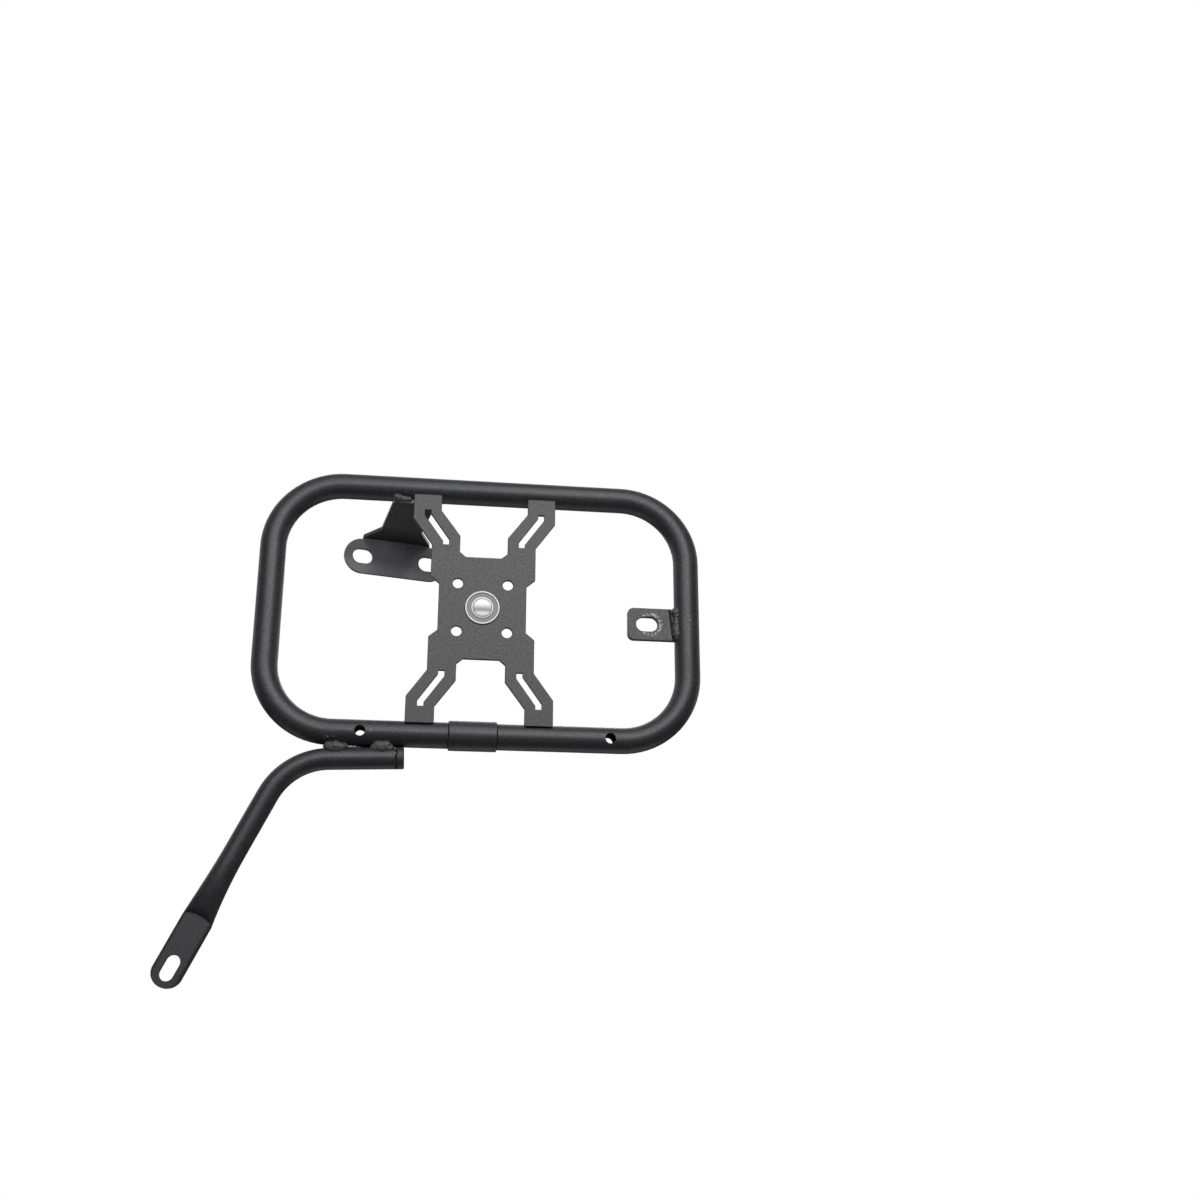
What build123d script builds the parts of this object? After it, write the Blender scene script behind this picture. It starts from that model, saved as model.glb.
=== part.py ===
# Pannier side frame of a motorcycle: a bent tube loop that carries a cross-shaped mounting plate,
# a folded upper bracket, a slotted side tab and a bent stay with a flattened end, all welded.
# Millimetres. +X runs to the rear of the bike, +Y inboard and +Z up.
# The origin is the centre of the plate's four bolt holes, on the plate's outer face.
import os
from math import atan2, cos, radians, sin, sqrt, tan

from build123d import *

# Loop tube
tube_od = 22.0
tube_wall = 2.0
loop_width = 357.5
loop_height = 219.0
loop_bend = 58.3
cross_hole = 9.0
front_hole_margin = 23.2
rear_hole_margin = 10.3
joint_x = -4.8
joint_gap = 1.0

# Joint sleeve
sleeve_length = 40.0
sleeve_wall = 1.5
sleeve_clearance = 0.1
sleeve_edge = 0.6

# Mounting plate, as the half sizes of one quarter
plate_t = 3.0
plate_inset = 0.2
plate_hole = 9.0
plate_hole_pitch = 42.7
waist_half = 37.4
waist_rise = 20.8
shoulder_half = 44.8
shoulder_low = 27.0
shoulder_top = 56.2
foot_inner = 37.4
foot_width = 24.0
foot_inner_run = 14.4
foot_outer_run = 22.5
arm_inner = 20.5
elbow_rise = 64.6
notch_half = 15.3
notch_floor = 45.6
notch_corner = 4.4
slot_width = 5.2
slot_straight = 4.0
slot_inner_x = 32.7
slot_outer_x = 49.1
slot_rise = 56.3
plate_corner = 1.2
plate_edge = 0.35

# Blank badge
badge_dia = 30.0
badge_t = 1.2
badge_rim = 2.2
badge_recess = 0.5
badge_boss = 19.0

# Upper bracket
bracket_t = 3.0
bracket_x = -61.3
neck_width = 36.6
neck_skew = 9.0
neck_front = 4.0
neck_length = 67.0
neck_corner = 6.0
bracket_reach = 95.0
fold_turn = 14.0
fold_radius = 1.0
flange_length = 96.0
flange_height = 33.2
flange_slot_length = 18.5
flange_slot_width = 14.0
flange_slot_pitch = 62.0
flange_slot_rise = -0.2

# Side tab
tab_t = 4.0
tab_front = 3.0
tab_height = 29.0
tab_reach = 41.5
tab_z = -5.7
tab_corner = 5.5
tab_slot_length = 19.0
tab_slot_width = 13.0
tab_slot_inset = 17.0
tab_edge = 0.4

# Stay
stay_od = 18.0
stay_wall = 2.0
stay_gap = 0.45
stay_inset = 53.4
stay_tilt = 2.2
stay_run = 86.7
stay_bend = 54.0
stay_leg_angle = 25.55
taper_start = 81.5
taper_length = 61.9
taper_middles = (20.0, 41.0)
taper_spread = 2.0
taper_dip = 3.2
taper_rise = 3.3
press_arc = 10.0
bore_taper = 42.0
bore_end_width = 16.8
bore_end_flat = 8.0
bore_end_depth = 8.6
tongue_width = 25.5
tongue_t = 4.2
tongue_length = 60.0
press_radius = 32.0
press_slope = 0.9
crease_lead = 4.2
stay_slot_length = 20.9
stay_slot_width = 11.2
stay_slot_margin = 5.3

# Stay plug
plug_head = 6.7
plug_stem = 12.0
plug_clearance = 0.1
plug_edge = 0.8

# Weld beads
bead_taper = 2.0
stay_bead_radius = 7.2
stay_bead_length = 18.5
stay_bead_insets = (9.8, 49.0)
tab_bead_radius = 4.6
tab_bead_rise = 1.1
bracket_bead_radius = 3.8
bracket_bead_length = 17.0
bracket_bead_lead = 1.3
rear_bead_length = 32.0
rear_bead_lag = 6.0
plate_bead_radius = 3.0
plate_bead_rise = 1.5
plate_bead_margin = 3.0

os.makedirs("parts", exist_ok=True)

# Places worked out from the sizes above
tube_r = tube_od / 2
stay_r = stay_od / 2
loop_y = tube_r - plate_inset
top_z = loop_height / 2
bottom_z = -loop_height / 2
leg_x = loop_width / 2
plate_back_offset = loop_y - plate_t
arm_end = top_z - sqrt(tube_r**2 - plate_back_offset**2)
outward = (0, -1, 0)
loop_plane = Plane(origin=(0, loop_y, 0), x_dir=(1, 0, 0), z_dir=outward)
plate_face = Plane(origin=(0, 0, 0), x_dir=(1, 0, 0), z_dir=outward)


def bent_rod(path, radius):
    """Return a round rod of the given radius along a bent path."""
    with BuildPart() as rod:
        with BuildSketch(Plane(origin=path @ 0, z_dir=path % 0)):
            Circle(radius)
        sweep(path=path)
    return rod.part


def weld_bead(plane, length, radius):
    """Return a rod of weld metal with tapered ends, centred on the plane and lying along its x axis."""
    half = length / 2
    with BuildPart() as rod:
        with BuildSketch(plane):
            with BuildLine():
                Polyline(
                    (-half, 0),
                    (half, 0),
                    (half, radius - bead_taper),
                    (half - bead_taper, radius),
                    (bead_taper - half, radius),
                    (-half, radius - bead_taper),
                    close=True,
                )
            make_face()
        revolve(axis=Axis(plane.origin, plane.x_dir))
    return rod.part


# Loop tube: one tube bent round four corners, with a butt joint at the bottom
front_hole_x = -leg_x + loop_bend + front_hole_margin
rear_hole_x = leg_x - loop_bend - rear_hole_margin
with BuildLine(loop_plane) as loop_path:
    FilletPolyline(
        (joint_x + joint_gap / 2, bottom_z),
        (leg_x, bottom_z),
        (leg_x, top_z),
        (-leg_x, top_z),
        (-leg_x, bottom_z),
        (joint_x - joint_gap / 2, bottom_z),
        radius=loop_bend,
    )
loop_rod = bent_rod(loop_path.line, tube_r)
loop_bore = bent_rod(loop_path.line, tube_r - tube_wall)
with BuildPart() as loop_tube:
    add(loop_rod)
    add(loop_bore, mode=Mode.SUBTRACT)
    with BuildSketch(loop_plane):
        with Locations((front_hole_x, bottom_z), (rear_hole_x, bottom_z)):
            Circle(cross_hole / 2)
    extrude(amount=tube_od, both=True, mode=Mode.SUBTRACT)
loop_tube.part.label = "loop_tube"

# Joint sleeve: a short tube slipped over the butt joint
sleeve_bore = tube_r + sleeve_clearance
with BuildPart() as joint_sleeve:
    with BuildSketch(Plane(origin=(joint_x, loop_y, bottom_z), z_dir=(1, 0, 0))):
        Circle(sleeve_bore + sleeve_wall)
        Circle(sleeve_bore, mode=Mode.SUBTRACT)
    extrude(amount=sleeve_length / 2, both=True)
    rims = joint_sleeve.edges().filter_by(GeomType.CIRCLE).group_by(SortBy.RADIUS)[-1]
    chamfer(rims, length=sleeve_edge)
joint_sleeve.part.label = "joint_sleeve"

# Mounting plate: one quarter drawn and mirrored, its feet running on until they meet the tube
foot_outer = foot_inner + foot_width
slot_end = arm_end - foot_inner_run
slot_half = slot_width / 2
slot_lean = atan2(slot_outer_x - slot_inner_x, slot_end - slot_rise - 2 * slot_straight)
slot_mitre = slot_half * tan(slot_lean / 2)
with BuildPart() as mounting_plate:
    with BuildSketch(plate_face):
        with BuildLine():
            Polyline(
                (0, 0),
                (waist_half, 0),
                (waist_half, waist_rise),
                (shoulder_half, shoulder_low),
                (shoulder_half, shoulder_top),
                (foot_outer, arm_end - foot_outer_run),
                (foot_outer, arm_end),
                (foot_inner, arm_end),
                (foot_inner, arm_end - foot_inner_run),
                (arm_inner, elbow_rise),
                (arm_inner, notch_floor + notch_corner),
                (notch_half, notch_floor),
                (0, notch_floor),
                close=True,
            )
        make_face()
        mirror(about=Plane.XZ)
        mirror(about=Plane.YZ)
    extrude(amount=-plate_t)
    fillet(mounting_plate.edges().filter_by(Axis.Y), radius=plate_corner)
    with BuildSketch(plate_face):
        with BuildLine():
            Polyline(
                (slot_inner_x - slot_half, slot_rise),
                (slot_inner_x + slot_half, slot_rise),
                (slot_inner_x + slot_half, slot_rise + slot_straight - slot_mitre),
                (slot_outer_x + slot_half, slot_end - slot_straight - slot_mitre),
                (slot_outer_x + slot_half, slot_end),
                (slot_outer_x - slot_half, slot_end),
                (slot_outer_x - slot_half, slot_end - slot_straight + slot_mitre),
                (slot_inner_x - slot_half, slot_rise + slot_straight + slot_mitre),
                close=True,
            )
        make_face()
        mirror(about=Plane.XZ)
        mirror(about=Plane.YZ)
        with GridLocations(plate_hole_pitch, plate_hole_pitch, 2, 2):
            Circle(plate_hole / 2)
    extrude(amount=-plate_t, mode=Mode.SUBTRACT)
    chamfer(mounting_plate.faces().sort_by(Axis.Y)[0].edges(), length=plate_edge)
mounting_plate.part.label = "mounting_plate"

# Blank badge: a shallow round badge with a plain rim and a plain raised middle
badge_r = badge_dia / 2
badge_floor = badge_t - badge_recess
with BuildPart() as badge_blank:
    with BuildSketch(Plane.XY):
        with BuildLine():
            Polyline(
                (0, -badge_t),
                (0, 0),
                (badge_r, 0),
                (badge_r, -badge_floor),
                (badge_r - badge_rim / 2, -badge_t),
                (badge_r - badge_rim, -badge_floor),
                (badge_boss / 2, -badge_floor),
                (badge_boss / 2 - badge_recess, -badge_t),
                close=True,
            )
        make_face()
    revolve(axis=Axis.Y)
badge_blank.part.label = "badge_blank"

# Upper bracket: a level neck under the top run, folded down into a slotted flange
web_top = top_z - tube_r
web_low = web_top - bracket_t
skew = radians(neck_skew)
turn = radians(fold_turn)
neck_dir = Vector(-sin(skew), cos(skew))
neck_side = Vector(cos(skew), sin(skew))
fold_dir = Vector(cos(turn), sin(turn))
fold_in = Vector(-sin(turn), cos(turn))
neck_root = Vector(bracket_x, loop_y)
fold_mid = neck_root + neck_dir * bracket_reach
fold_half = (flange_length - flange_height) / 2
fold_start = fold_mid - fold_in * fold_radius


def neck_point(side, distance):
    """Return a point on one edge of the neck, at a distance from the tube's axis."""
    return neck_root + neck_side * (side * neck_width / 2) + neck_dir * distance


def neck_corner_at_front(side):
    """Return the point where one edge of the neck meets its front edge."""
    start = neck_point(side, 0)
    return neck_point(side, (loop_y - neck_front - start.Y) / cos(skew))


flange_top = web_low - fold_radius
flange_plane = Plane(
    origin=(fold_mid.X, fold_mid.Y, flange_top - flange_height / 2),
    x_dir=(fold_dir.X, fold_dir.Y, 0),
    z_dir=(-fold_in.X, -fold_in.Y, 0),
)
fold_plane = Plane(
    origin=(fold_start.X, fold_start.Y, flange_top),
    x_dir=(fold_in.X, fold_in.Y, 0),
    z_dir=(fold_dir.X, fold_dir.Y, 0),
)
fold_outer = fold_radius + bracket_t
with BuildPart() as upper_bracket:
    with BuildSketch(Plane.XY.offset(web_low)):
        with BuildLine():
            Polyline(
                neck_corner_at_front(-1),
                neck_point(-1, neck_length),
                fold_start - fold_dir * fold_half,
                fold_start + fold_dir * fold_half,
                neck_point(1, neck_length),
                neck_corner_at_front(1),
                close=True,
            )
        neck_face = make_face()
        elbows = neck_face.vertices().sort_by(Axis(neck_root, neck_dir))[2:4]
        fillet(elbows, radius=neck_corner)
    extrude(amount=bracket_t)
    with BuildSketch(fold_plane):
        Circle(fold_outer)
        Circle(fold_radius, mode=Mode.SUBTRACT)
        Rectangle(fold_outer, fold_outer, align=(Align.MIN, Align.MIN), mode=Mode.INTERSECT)
    extrude(amount=fold_half, both=True)
    with BuildSketch(flange_plane):
        SlotOverall(flange_length, flange_height)
        with Locations((0, flange_slot_rise)):
            with GridLocations(flange_slot_pitch, 0, 2, 1):
                SlotOverall(flange_slot_length, flange_slot_width, mode=Mode.SUBTRACT)
    extrude(amount=-bracket_t)
upper_bracket.part.label = "upper_bracket"

# Side tab: a slotted plate whose end is coped to the rear leg
tab_y = loop_y - tab_front
tab_free_x = leg_x - tube_r - tab_reach
tab_plane = Plane(origin=(tab_free_x, tab_y, tab_z), x_dir=(1, 0, 0), z_dir=outward)
with BuildPart() as side_tab:
    with BuildSketch(tab_plane):
        Rectangle(tab_reach + tube_r, tab_height, align=(Align.MIN, Align.CENTER))
    extrude(amount=-tab_t)
    free_corners = side_tab.edges().filter_by(Axis.Y).group_by(Axis.X)[0]
    fillet(free_corners, radius=tab_corner)
    with BuildSketch(tab_plane):
        with Locations((tab_slot_inset, 0)):
            SlotOverall(tab_slot_length, tab_slot_width)
    extrude(amount=-tab_t, mode=Mode.SUBTRACT)
    with BuildSketch(Plane(origin=(leg_x, loop_y, tab_z))):
        Circle(tube_r)
    extrude(amount=tab_height, both=True, mode=Mode.SUBTRACT)
    chamfer(side_tab.faces().sort_by(Axis.Y)[0].edges().filter_by(Axis.Z, reverse=True), length=tab_edge)
side_tab.part.label = "side_tab"

# Stay: a bent tube below the bottom run, pressed flat against its back at the lower end
tilt = radians(stay_tilt)
lean = radians(stay_leg_angle)
run_dir = Vector(-cos(tilt), -sin(tilt))
leg_dir = Vector(-sin(lean), -cos(lean))
run_start = Vector(-leg_x + loop_bend + stay_inset, bottom_z - tube_r - stay_gap - stay_r)
stay_corner = run_start + run_dir * stay_run
tongue_start = taper_start + taper_length
tongue_back = loop_y + stay_r
tongue_face = tongue_back - tongue_t
tongue_r = tongue_t / 2
tongue_half = tongue_width / 2
crease = tongue_start - crease_lead
tip = crease + tongue_length


def leg_point(distance):
    """Return the point of the leg's axis at a distance from the stay's corner, in x and z."""
    return stay_corner + leg_dir * distance


def leg_section(distance):
    """Return the plane across the leg at a distance from the stay's corner."""
    point = leg_point(distance)
    return Plane(
        origin=(point.X, loop_y, point.Y),
        x_dir=(cos(lean), 0, -sin(lean)),
        z_dir=(leg_dir.X, 0, leg_dir.Y),
    )


def leg_face(distance, y):
    """Return the plane that faces outward at a point of the leg's axis, with x along the leg."""
    point = leg_point(distance)
    return Plane(origin=(point.X, y, point.Y), x_dir=(leg_dir.X, 0, leg_dir.Y), z_dir=outward)


def round_section(distance, radius):
    """Return a round face across the leg, its rim in four arcs that pair with a pressed section's."""
    across = leg_section(distance)
    turns = (270 - press_arc / 2, 270 + press_arc / 2, 360, 540, 630 - press_arc / 2)
    arcs = [Edge.make_circle(radius, across, start, end) for start, end in zip(turns, turns[1:])]
    return Face(Wire(arcs))


def pressed_section(distance, half, flat_half, corner, rise, back):
    """Return a face across the leg with a flat back, two round corners and an arched front."""
    middle = corner - back
    with BuildLine(leg_section(distance)) as outline:
        Line((-flat_half, -back), (flat_half, -back))
        EllipticalCenterArc((flat_half, middle), half - flat_half, corner, 270, arc_size=90)
        EllipticalCenterArc((0, middle), half, rise, 0, arc_size=180)
        EllipticalCenterArc((-flat_half, middle), half - flat_half, corner, 180, arc_size=90)
    return Face(outline.wire())


def taper_section(middle):
    """Return the face across the taper at a distance from its start, between the tube and the tongue."""
    spread = (middle / taper_length) ** taper_spread
    dip = (middle / taper_length) ** taper_dip
    return pressed_section(
        taper_start + middle,
        stay_r + (tongue_half - stay_r) * spread,
        press_flat + (tongue_flat - press_flat) * spread,
        stay_r + (tongue_r - stay_r) * dip,
        stay_r + (taper_rise - stay_r) * dip,
        stay_r,
    )


slot_mid = tip - stay_slot_margin - stay_slot_length / 2
press_height = stay_od
bore_r = stay_r - stay_wall
bore_end_r = bore_end_depth / 2
leg_end = leg_point(taper_start)
tongue_flat = tongue_half - tongue_r
press_flat = stay_r * sin(radians(press_arc / 2))
press_start = round_section(taper_start, stay_r)
press_end = taper_section(taper_length)
bore_start = round_section(taper_start, bore_r)
bore_end = pressed_section(
    taper_start + bore_taper, bore_end_width / 2, bore_end_flat / 2, bore_end_r, bore_end_r, bore_r
)
with BuildLine(loop_plane) as stay_path:
    FilletPolyline(
        (run_start.X, run_start.Y),
        (stay_corner.X, stay_corner.Y),
        (leg_end.X, leg_end.Y),
        radius=stay_bend,
    )
stay_rod = bent_rod(stay_path.line, stay_r)
stay_bore = bent_rod(stay_path.line, bore_r)
with BuildPart() as stay:
    extrude(press_end, amount=tip - tongue_start)
    with BuildSketch(leg_face(tongue_start, tongue_face)):
        SlotOverall(2 * (tip - tongue_start), tongue_width)
    extrude(amount=stay_od, both=True, mode=Mode.INTERSECT)
    loft((press_start, *[taper_section(middle) for middle in taper_middles], press_end))
    add(stay_rod)
    add(stay_bore, mode=Mode.SUBTRACT)
    loft((bore_start, bore_end), mode=Mode.SUBTRACT)
    with Locations(leg_face(crease + press_radius, tongue_face).location):
        Cone(
            press_radius,
            press_radius + press_slope * press_height,
            press_height,
            align=(Align.CENTER, Align.CENTER, Align.MIN),
            mode=Mode.SUBTRACT,
        )
    with BuildSketch(leg_face(slot_mid, tongue_face)):
        SlotOverall(stay_slot_length, stay_slot_width)
    extrude(amount=stay_od, both=True, mode=Mode.SUBTRACT)
stay.part.label = "stay"

# Stay plug: a headed plug pushed into the open end of the stay
plug_plane = Plane(origin=stay_path.line @ 0, z_dir=(-run_dir.X, 0, -run_dir.Y))
with BuildPart() as stay_plug:
    with BuildSketch(plug_plane):
        Circle(stay_r)
    extrude(amount=plug_head)
    far_rim = stay_plug.faces().sort_by(Axis.X)[-1].edges()
    chamfer(far_rim, length=plug_edge)
    with BuildSketch(plug_plane):
        Circle(bore_r - plug_clearance)
    extrude(amount=-plug_stem)
stay_plug.part.label = "stay_plug"

# Weld beads: rods with tapered ends laid in each corner and cut back to the pieces that they join
with BuildPart() as stay_welds:
    for inset in stay_bead_insets:
        on_run = run_start + run_dir * inset
        gap_mid = (bottom_z - tube_r + on_run.Y + stay_r) / 2
        bead_plane = Plane(origin=(on_run.X, loop_y, gap_mid), x_dir=(1, 0, 0), z_dir=outward)
        add(weld_bead(bead_plane, stay_bead_length, stay_bead_radius))
    add(loop_rod, mode=Mode.SUBTRACT)
    add(stay_rod, mode=Mode.SUBTRACT)
stay_welds.part.label = "stay_welds"

tab_corner_x = leg_x - sqrt(tube_r**2 - tab_front**2)
tab_bead_plane = Plane(
    origin=(tab_corner_x, tab_y - tab_bead_rise, tab_z),
    x_dir=(0, 0, 1),
    z_dir=outward,
)
with BuildPart() as tab_weld:
    add(weld_bead(tab_bead_plane, tab_height, tab_bead_radius))
    add(loop_rod, mode=Mode.SUBTRACT)
    add(side_tab.part, mode=Mode.SUBTRACT)
tab_weld.part.label = "tab_weld"

front_corner = neck_corner_at_front(-1)
front_bead_x = front_corner.X + bracket_bead_length / 2
front_bead_y = front_corner.Y - bracket_bead_lead
rear_bead_y = loop_y + rear_bead_lag
rear_bead_x = bracket_x - rear_bead_lag * tan(skew)
bracket_beads = (
    (front_bead_x, front_bead_y, web_low + bracket_bead_radius, bracket_bead_length),
    (rear_bead_x, rear_bead_y, web_top + bracket_bead_lead, rear_bead_length),
)
with BuildPart() as bracket_welds:
    for bead_x, bead_y, bead_z, bead_length in bracket_beads:
        bead_plane = Plane(origin=(bead_x, bead_y, bead_z), x_dir=(1, 0, 0), z_dir=outward)
        add(weld_bead(bead_plane, bead_length, bracket_bead_radius))
    add(loop_rod, mode=Mode.SUBTRACT)
    add(upper_bracket.part, mode=Mode.SUBTRACT)
    add(mounting_plate.part, mode=Mode.SUBTRACT)
bracket_welds.part.label = "bracket_welds"

foot_mid = (foot_inner + foot_outer) / 2
plate_bead_y = plate_t + plate_bead_rise
plate_bead_z = top_z - sqrt((tube_r + plate_bead_rise) ** 2 - (loop_y - plate_bead_y) ** 2)
with BuildPart() as plate_welds:
    for side in (-1, 1):
        for end in (-1, 1):
            weld_plane = Plane(
                origin=(side * foot_mid, plate_bead_y, end * plate_bead_z),
                x_dir=(1, 0, 0),
                z_dir=outward,
            )
            add(weld_bead(weld_plane, foot_width - 2 * plate_bead_margin, plate_bead_radius))
    add(loop_rod, mode=Mode.SUBTRACT)
    add(mounting_plate.part, mode=Mode.SUBTRACT)
    add(upper_bracket.part, mode=Mode.SUBTRACT)
plate_welds.part.label = "plate_welds"

pieces = (
    loop_tube,
    joint_sleeve,
    mounting_plate,
    badge_blank,
    upper_bracket,
    side_tab,
    stay,
    stay_plug,
    stay_welds,
    tab_weld,
    bracket_welds,
    plate_welds,
)
for piece in pieces:
    export_step(piece.part, f"parts/{piece.part.label}.step")
    print(piece.part.label, len(piece.part.solids()), "solids", round(piece.part.volume), "mm3")
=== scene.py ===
# %% [markdown]
# # A welded pannier frame in a studio
# The real frame is bent steel tube with a cut plate, a folded bracket, a tab and a stay welded to it,
# all under one satin black powder coat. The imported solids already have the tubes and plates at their
# real size, so this script keeps them as they are. It adds what solids can't show: the grain of the
# coat, lumpy weld metal, a washer's mark, chips, a round silver badge, and the light and the camera.

# %% Load the frame
import math
import random

import bpy
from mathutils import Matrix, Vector


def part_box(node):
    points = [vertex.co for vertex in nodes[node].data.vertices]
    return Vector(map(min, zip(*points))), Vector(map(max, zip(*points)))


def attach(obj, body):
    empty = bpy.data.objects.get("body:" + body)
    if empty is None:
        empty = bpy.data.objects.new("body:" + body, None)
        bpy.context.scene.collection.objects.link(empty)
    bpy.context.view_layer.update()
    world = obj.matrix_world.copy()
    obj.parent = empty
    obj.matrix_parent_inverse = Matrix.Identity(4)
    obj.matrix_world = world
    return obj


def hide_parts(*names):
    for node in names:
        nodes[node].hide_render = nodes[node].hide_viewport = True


MM = 0.001

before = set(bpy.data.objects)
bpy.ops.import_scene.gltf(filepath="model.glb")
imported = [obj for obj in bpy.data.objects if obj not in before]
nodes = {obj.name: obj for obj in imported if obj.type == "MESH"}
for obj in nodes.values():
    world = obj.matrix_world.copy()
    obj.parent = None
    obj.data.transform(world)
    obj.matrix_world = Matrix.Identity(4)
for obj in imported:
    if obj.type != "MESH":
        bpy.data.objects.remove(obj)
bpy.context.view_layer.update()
bpy.ops.object.select_all(action="DESELECT")
print("nodes:", sorted(nodes))

# %% [markdown]
# ## Camera
# The frame was photographed from a little below and in front, with a moderate lens. A camera could be
# aimed at the frame's middle, but then the lens and the distance would still be guesses. Here its place,
# turn and lens were worked out from the loop's edges, so they are set as numbers.

# %% Camera
CAMERA_PLACE = (-59.6 * MM, -1160.3 * MM, -385.4 * MM)
CAMERA_PITCH = 18.73
CAMERA_YAW = -7.88
CAMERA_LENS = 43.03
SENSOR_WIDTH = 36
NEAR_CLIP = 10 * MM

bpy.ops.object.camera_add(location=CAMERA_PLACE)
camera = bpy.context.object
camera.rotation_euler = (math.radians(90 + CAMERA_PITCH), 0, math.radians(CAMERA_YAW))
camera.data.lens = CAMERA_LENS
camera.data.sensor_width = SENSOR_WIDTH
camera.data.clip_start = NEAR_CLIP
bpy.context.scene.camera = camera
print("camera at", [round(v, 3) for v in camera.location])

# %% [markdown]
# ## Small helpers for nodes
# The world and every finish below are a handful of nodes. Each could be wired link by link, but the sum
# behind it would be hard to see. These helpers add a node, wire a value or another node's output into a
# socket, and give back the output, so that a finish reads like a sum.

# %% Node helpers
def add_node(tree, kind, **settings):
    """Add a shader node and set its options."""
    node = tree.nodes.new("ShaderNode" + kind)
    for option, value in settings.items():
        setattr(node, option, value)
    return node


def feed(tree, socket, value):
    """Wire an output into a socket, or set the socket to a plain value."""
    if isinstance(value, bpy.types.NodeSocket):
        tree.links.new(value, socket)
    else:
        socket.default_value = value


def reckon(tree, operation, *values, clamp=False):
    """Add a Math node and return its result."""
    node = add_node(tree, "Math", operation=operation, use_clamp=clamp)
    for socket, value in zip(node.inputs, values):
        feed(tree, socket, value)
    return node.outputs[0]


print("node helpers ready")

# %% [markdown]
# ## Studio
# The photograph has a pure white ground, and a satin coat mirrors it as a pale rim on each tube. A white
# floor and wall would give both, but they would throw their own light on the frame as well. So the
# world is white to the eye and to reflections, and only a weak fill to everything else.

# %% World
WHITE = (1, 1, 1, 1)
SEEN_STRENGTH = 1.0
FILL_STRENGTH = 0.16

world = bpy.data.worlds.new("white_studio")
bpy.context.scene.world = world
world.use_nodes = True
sky = world.node_tree
for old in list(sky.nodes):
    sky.nodes.remove(old)


def background(strength):
    """Add a white background to the world and return its output."""
    node = add_node(sky, "Background")
    node.inputs["Color"].default_value = WHITE
    node.inputs["Strength"].default_value = strength
    return node.outputs[0]


seen = add_node(sky, "LightPath").outputs
direct = reckon(sky, "MAXIMUM", seen["Is Camera Ray"], seen["Is Transmission Ray"])
shown = reckon(sky, "MAXIMUM", direct, seen["Is Glossy Ray"])
either = add_node(sky, "MixShader")
sky.links.new(shown, either.inputs[0])
sky.links.new(background(FILL_STRENGTH), either.inputs[1])
sky.links.new(background(SEEN_STRENGTH), either.inputs[2])
sky.links.new(either.outputs[0], add_node(sky, "OutputWorld").inputs[0])
bpy.context.scene.view_settings.view_transform = "Standard"
print("world: white to the eye, fill", FILL_STRENGTH)

# %% [markdown]
# The room round the photographer was dark, and the coat mirrors it as a dark band beside each bright one.
# Black cards would do this in a studio. One shell is simpler here: a sphere round everything, with a
# wide opening cut behind the frame, that only reflections can see. A strip of it is left standing
# behind, below the frame, for the dark band along the lower side of each tube.

# %% Dark shell
SHELL_RADIUS = 2.4
# Where the opening starts, back from the middle and up from it, as shares of the radius
OPEN_BEHIND_TOP = 0.22
OPEN_BEHIND_BOTTOM = 0.02
OPEN_FROM = -0.95
DARK_BAND = (-0.62, -0.12)
ROOM_BLACK = (0.02, 0.02, 0.02, 1)

bpy.ops.mesh.primitive_uv_sphere_add(segments=64, ring_count=32, radius=SHELL_RADIUS)
shell = bpy.context.object
shell.name = "dark_room"
bpy.ops.object.mode_set(mode="EDIT")
bpy.ops.mesh.select_mode(type="FACE")
bpy.ops.mesh.select_all(action="DESELECT")
bpy.ops.object.mode_set(mode="OBJECT")
for face in shell.data.polygons:
    back, up = face.center.y / SHELL_RADIUS, face.center.z / SHELL_RADIUS
    behind = back > (OPEN_BEHIND_TOP if up > 0 else OPEN_BEHIND_BOTTOM)
    banded = DARK_BAND[0] < up < DARK_BAND[1]
    face.select = behind and up > OPEN_FROM and not banded
bpy.ops.object.mode_set(mode="EDIT")
bpy.ops.mesh.delete(type="FACE")
bpy.ops.object.mode_set(mode="OBJECT")
shell.visible_camera = False
shell.visible_diffuse = False
shell.visible_transmission = False
shell.visible_shadow = False
room = bpy.data.materials.new("room_dark")
room.use_nodes = True
room_paint = room.node_tree.nodes["Principled BSDF"].inputs
room_paint["Base Color"].default_value = ROOM_BLACK
room_paint["Roughness"].default_value = 1.0
shell.data.materials.append(room)
print("dark shell faces:", len(shell.data.polygons))

# %% [markdown]
# Each level tube shows a soft bright band, and so does each upright leg. Bulbs would give hard spots
# instead. So area lamps stand in for long soft boxes in front and above: two wide strips for the level
# tubes and a tall one for the legs. A weak square lamp behind keeps the far side from going black. It
# stays weak because a strong one burns a bright fringe along the tubes' edges.

# %% Lamps
LAMP_AIM = Vector((0, 10, -40)) * MM


def soft_lamp(name, place, wide, tall, power):
    """Add a soft lamp that shines at the frame. Its place is in millimetres and its size in metres."""
    bpy.ops.object.light_add(type="AREA", location=[v * MM for v in place])
    lamp = bpy.context.object
    lamp.name = name
    lamp.data.shape = "RECTANGLE"
    lamp.data.size = wide
    lamp.data.size_y = tall
    lamp.data.energy = power
    lamp.rotation_euler = (LAMP_AIM - lamp.location).to_track_quat("-Z", "Y").to_euler()
    print(name, "at", place, "power", power)
    return lamp


soft_lamp("wide_lamp", (-160, -1550, 540), wide=1.65, tall=0.12, power=18.4)
soft_lamp("high_lamp", (-100, -1200, 1400), wide=1.6, tall=0.3, power=8.0)
soft_lamp("tall_lamp", (480, -1550, 1040), wide=0.3, tall=1.6, power=13.0)
soft_lamp("back_lamp", (250, 1500, 900), wide=0.9, tall=0.9, power=7.0)

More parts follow.
